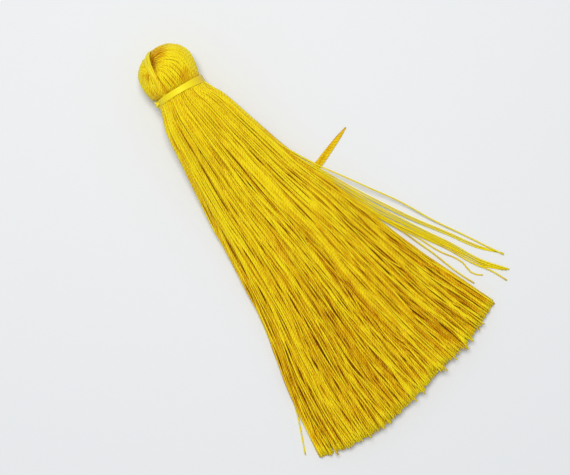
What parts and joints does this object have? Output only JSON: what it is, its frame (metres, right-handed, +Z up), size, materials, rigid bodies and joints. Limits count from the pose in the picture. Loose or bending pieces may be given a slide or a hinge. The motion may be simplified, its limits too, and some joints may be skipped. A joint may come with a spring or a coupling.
{
  "type": "silk tassel",
  "caption": "Thread tassel lying on its side: a round folded head with a pinched crease, a wound neck and a long skirt of fine cut threads that fans out flat.",
  "frame": {"origin": "middle of the flat spot under the head, on the surface that the tassel lies on", "axes": "+X from the head to the hem along the middle of the skirt, +Y to the right of the skirt as seen from above with the head at the left, +Z up from the surface"},
  "size_m": [0.0882, 0.0576, 0.012],
  "materials": {
    "silk_threads": "fine twisted silk thread, satin sheen",
    "silk_floss": "smooth untwisted silk floss, bright sheen"
  },
  "bodies": {
    "root": {"thread_bundle": "silk_threads", "neck_binding": "silk_floss", "head_tie": "silk_floss"}
  },
  "joints": []
}
